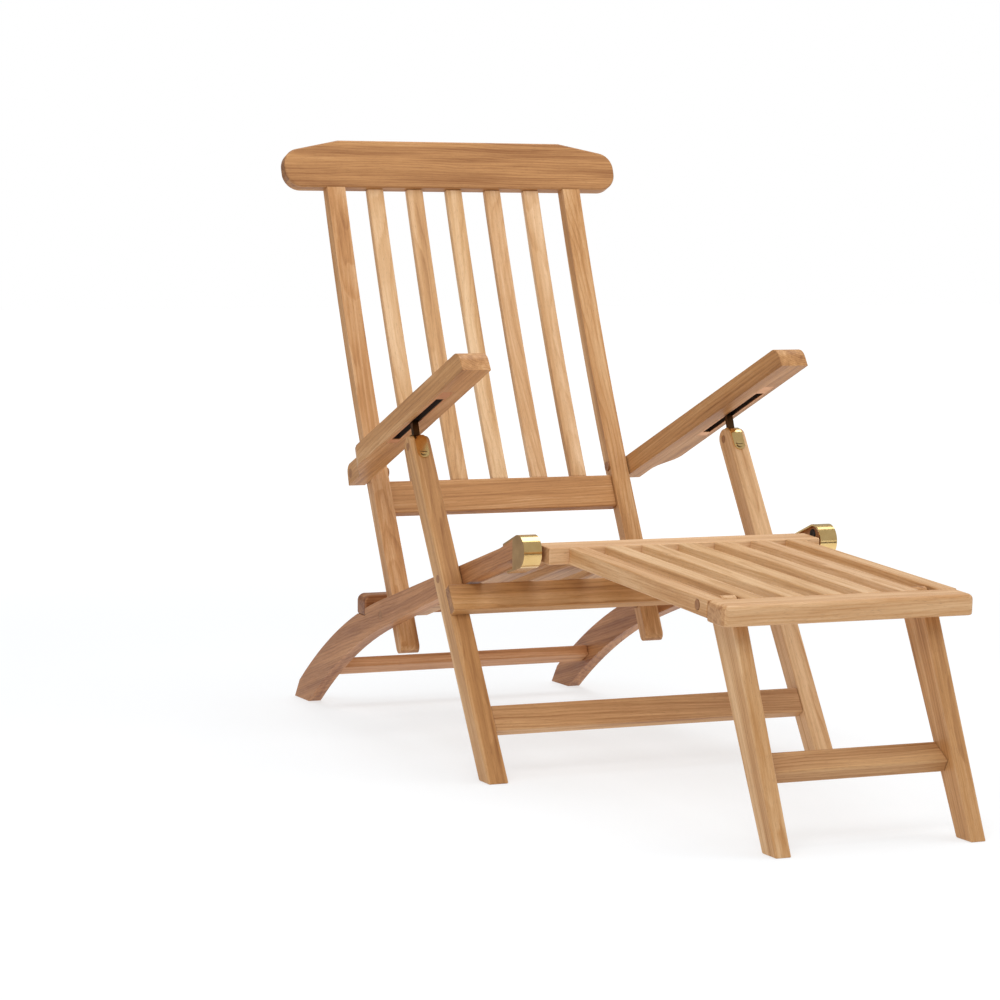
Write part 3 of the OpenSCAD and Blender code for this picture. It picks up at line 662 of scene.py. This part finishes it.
# Painted shade for the inside of the arms' slots
shade_in_slot = painted_slot_shade("slot_painted_shade")
# Painted shade: black for the discs in the noses' bores
bore_shade = bore_shade_black("bore_shade_black")


def second_material(piece, material, chosen):
    """Gives a piece's chosen faces another material."""
    index = len(piece.data.materials)
    piece.data.materials.append(material)
    for face in piece.data.polygons:
        if chosen(face):
            face.material_index = index


def darken_ends(node):
    """Gives the faces cut across the grain the deeper colour of end grain."""
    along = grain_axes(node)[0]
    second_material(pieces[node], cut_ends, lambda face: abs(face.normal.dot(along)) > END_SHARE)


def darken_rims(node):
    """Gives the rounded rims of a node's plugs the deeper colour of end grain."""
    second_material(pieces[node], cut_ends, lambda face: abs(face.normal.x) < RIM_SHARE)


def bore_shade_mesh(name, centre, side):
    """Round dark disc with a dished middle, standing out sideways from its centre, painted as the shade in
    a bore.
    """
    shape = bmesh.new()
    rings = []
    for radius, height in BORE_SHADE_RINGS:
        ring = []
        for step in range(BORE_SHADE_STEPS):
            turn = math.tau * step / BORE_SHADE_STEPS
            y = centre.y + radius * math.cos(turn)
            z = centre.z + radius * math.sin(turn)
            ring.append(shape.verts.new((centre.x - side * height, y, z)))
        rings.append(ring)
    for inner, outer in zip(rings, rings[1:]):
        for step in range(BORE_SHADE_STEPS):
            after = (step + 1) % BORE_SHADE_STEPS
            shape.faces.new((inner[step], outer[step], outer[after], inner[after]))
    shape.faces.new(rings[0])
    shape.faces.new(rings[-1])
    bmesh.ops.recalc_face_normals(shape, faces=shape.faces)
    for face in shape.faces:
        face.smooth = len(face.verts) == 4
    mesh = bpy.data.meshes.new(name)
    shape.to_mesh(mesh)
    shape.free()
    return mesh


def bore_shade_disc(hand, side, seed):
    """Black disc on the inner face of a rail's nose, painted shade where a bore lies."""
    name = "nose_bush_" + hand
    low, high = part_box("hinge_pin_" + hand)
    centre = (low + high) / 2 + Vector((0, BORE_SHADE_BACK, BORE_SHADE_RISE))
    centre.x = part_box("rail_" + hand)[0 if side > 0 else 1].x
    mesh = bore_shade_mesh(name, centre, side)
    write_grain(mesh, name, seed)
    mesh.materials.append(bore_shade)
    piece = bpy.data.objects.new(name, mesh)
    bpy.context.scene.collection.objects.link(piece)
    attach(piece, "seat_frame")


def paint_slot_shade(hand):
    """Paints shade on the inside of the slot above the arm's metal track."""
    low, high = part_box("arm_track_" + hand)
    middle = (low.x + high.x) / 2
    along, upward = slope_axes(ARM_SLOPE)
    rear_foot = Vector((0, high.y, low.z))
    front_top = Vector((0, low.y, high.z))
    underside = min(front_top.dot(upward), rear_foot.dot(upward))
    start = rear_foot.dot(along)
    end = front_top.dot(along)

    def inside(face):
        point = face.center
        depth = point.dot(upward) - underside
        if abs(point.x - middle) >= SLOT_HALF or not SLOT_SHALLOW < depth < SLOT_DEEP:
            return False
        return start < point.dot(along) < end

    second_material(pieces["arm_" + hand], shade_in_slot, inside)


def finish_fittings(hand):
    """Gives one side's metal parts and the plugs over their ends their own materials, with painted shade
    on the hook's neck.
    """
    plug = materials["end_grain"]
    neck_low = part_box("front_leg_" + hand)[1].z + NECK_RISE
    pieces["arm_track_" + hand].data.materials[0] = track_metal
    second_material(pieces["rest_bolt_" + hand], plug, lambda face: abs(face.center.x) > PLUG_START)
    second_material(pieces["arm_bolt_" + hand], plug, lambda face: abs(face.center.x) < HEAD_END)
    second_material(pieces["back_bolt_" + hand], plug, lambda face: abs(face.center.x) < HEAD_END)
    # Painted reflection on the nose cap's outer cheek
    second_material(pieces["nose_cap_" + hand], painted_reflection_brass, lambda face: abs(face.center.x) > CHEEK_START)
    # The hook's neck above its leg gets painted shade and reflection
    second_material(pieces["arm_hook_" + hand], painted_shade_metal, lambda face: face.center.z > neck_low)


def finish_screws():
    """Leaves the screws' heads bright, and paints shade on their slots and sides."""
    outward = slope_axes(LEG_LEAN)[0]
    screws = pieces["hook_screws"]
    top = max(vertex.co.dot(outward) for vertex in screws.data.vertices)
    second_material(screws, painted_shade_metal, lambda face: face.center.dot(outward) < top - SCREW_DROP)


pieces = {}
for number, node_name in enumerate(sorted(nodes)):
    pieces[node_name] = look(node_name, number)
    if node_name in PLUG_PIECES:
        darken_rims(node_name)
    elif slot_of_node[node_name] in WOOD_SLOTS and node_name not in ARMS:
        darken_ends(node_name)
# Dark discs painted as the shade in the noses' bores
bore_shade_disc("left", -1, len(nodes))
bore_shade_disc("right", 1, len(nodes) + 1)
for hand_name in ("left", "right"):
    paint_slot_shade(hand_name)
    finish_fittings(hand_name)
finish_screws()


# Floor, light and camera


def facing(place, target, front):
    """Turn that points an object's front from its place at a target."""
    return (Vector(target) - Vector(place)).to_track_quat(front, "Y").to_euler()


def floor():
    """White floor that keeps a soft shadow. Far out it glows more, where the lights fade."""
    bpy.ops.mesh.primitive_plane_add(size=FLOOR_SIZE, location=(0, 0, -FLOOR_DROP))
    plane = bpy.context.active_object
    plane.name = "floor"
    graph = Graph("floor")
    place = graph.node("ShaderNodeNewGeometry").outputs["Position"]
    distance = graph.node("ShaderNodeVectorMath", {"operation": "LENGTH"}, in0=place).outputs["Value"]
    glow = graph.node(
        "ShaderNodeMapRange", {"interpolation_type": "SMOOTHSTEP"}, Value=distance,
        From_Min=GLOW_NEAR, From_Max=GLOW_FAR, To_Min=GLOW_LEAST, To_Max=GLOW_MOST,
    )
    graph.surface("Base Color", FLOOR_COLOUR)
    graph.surface("Roughness", 1.0)
    graph.surface("Specular IOR Level", 0.0)
    graph.surface("Emission Color", (1, 1, 1, 1))
    graph.surface("Emission Strength", glow.outputs["Result"])
    plane.data.materials.append(graph.material)


def dark_card(name, place, size, target):
    """Dark card that only polished metal sees, for the depth in its reflections."""
    bpy.ops.mesh.primitive_plane_add(size=1, location=place)
    card = bpy.context.active_object
    card.name = name
    card.scale = (size[0], size[1], 1)
    card.rotation_euler = facing(place, target, "Z")
    graph = Graph(name)
    graph.surface("Base Color", CARD_COLOUR)
    graph.surface("Roughness", 1.0)
    card.data.materials.append(graph.material)
    card.visible_camera = False
    card.visible_diffuse = False
    card.visible_shadow = False
    card.visible_transmission = False


def area_light(name, place, size, power):
    """Round soft lamp that the camera doesn't see."""
    light = bpy.data.lights.new(name, "AREA")
    light.shape = "DISK"
    light.size = size
    light.energy = power
    lamp = bpy.data.objects.new(name, light)
    lamp.location = place
    lamp.rotation_euler = facing(place, OBJECT_MIDDLE, "-Z")
    bpy.context.scene.collection.objects.link(lamp)
    lamp.visible_camera = False


def surroundings():
    """White to the camera; a soft grey-white room for everything else."""
    world = bpy.data.worlds.new("room")
    bpy.context.scene.world = world
    world.use_nodes = True
    tree = world.node_tree
    tree.nodes.clear()
    output = tree.nodes.new("ShaderNodeOutputWorld")
    seen = tree.nodes.new("ShaderNodeBackground")
    room = tree.nodes.new("ShaderNodeBackground")
    mix = tree.nodes.new("ShaderNodeMixShader")
    path = tree.nodes.new("ShaderNodeLightPath")
    seen.inputs["Color"].default_value = (1, 1, 1, 1)
    seen.inputs["Strength"].default_value = 1.0
    room.inputs["Color"].default_value = ROOM_COLOUR
    room.inputs["Strength"].default_value = ROOM_STRENGTH
    tree.links.new(path.outputs["Is Camera Ray"], mix.inputs[0])
    tree.links.new(room.outputs[0], mix.inputs[1])
    tree.links.new(seen.outputs[0], mix.inputs[2])
    tree.links.new(mix.outputs[0], output.inputs["Surface"])


def camera():
    """Camera at the photo's place, turned and rolled as it was."""
    data = bpy.data.cameras.new("camera")
    data.sensor_width = CAMERA_SENSOR
    data.lens = CAMERA_LENS
    data.clip_end = CAMERA_REACH
    forward = CAMERA_FORWARD.normalized()
    right = Vector((forward.y, -forward.x, 0)).normalized()
    up = right.cross(forward)
    rolled_right = math.cos(CAMERA_ROLL) * right + math.sin(CAMERA_ROLL) * up
    rolled_up = -math.sin(CAMERA_ROLL) * right + math.cos(CAMERA_ROLL) * up
    turn = Matrix((rolled_right, rolled_up, -forward)).transposed().to_4x4()
    holder = bpy.data.objects.new("camera", data)
    holder.matrix_world = Matrix.Translation(CAMERA_PLACE) @ turn
    bpy.context.scene.collection.objects.link(holder)
    bpy.context.scene.camera = holder


floor()
surroundings()
for lamp_values in LAMPS:
    area_light(*lamp_values)
for card_values in CARDS:
    dark_card(*card_values)
camera()
bpy.context.scene.view_settings.view_transform = "Standard"
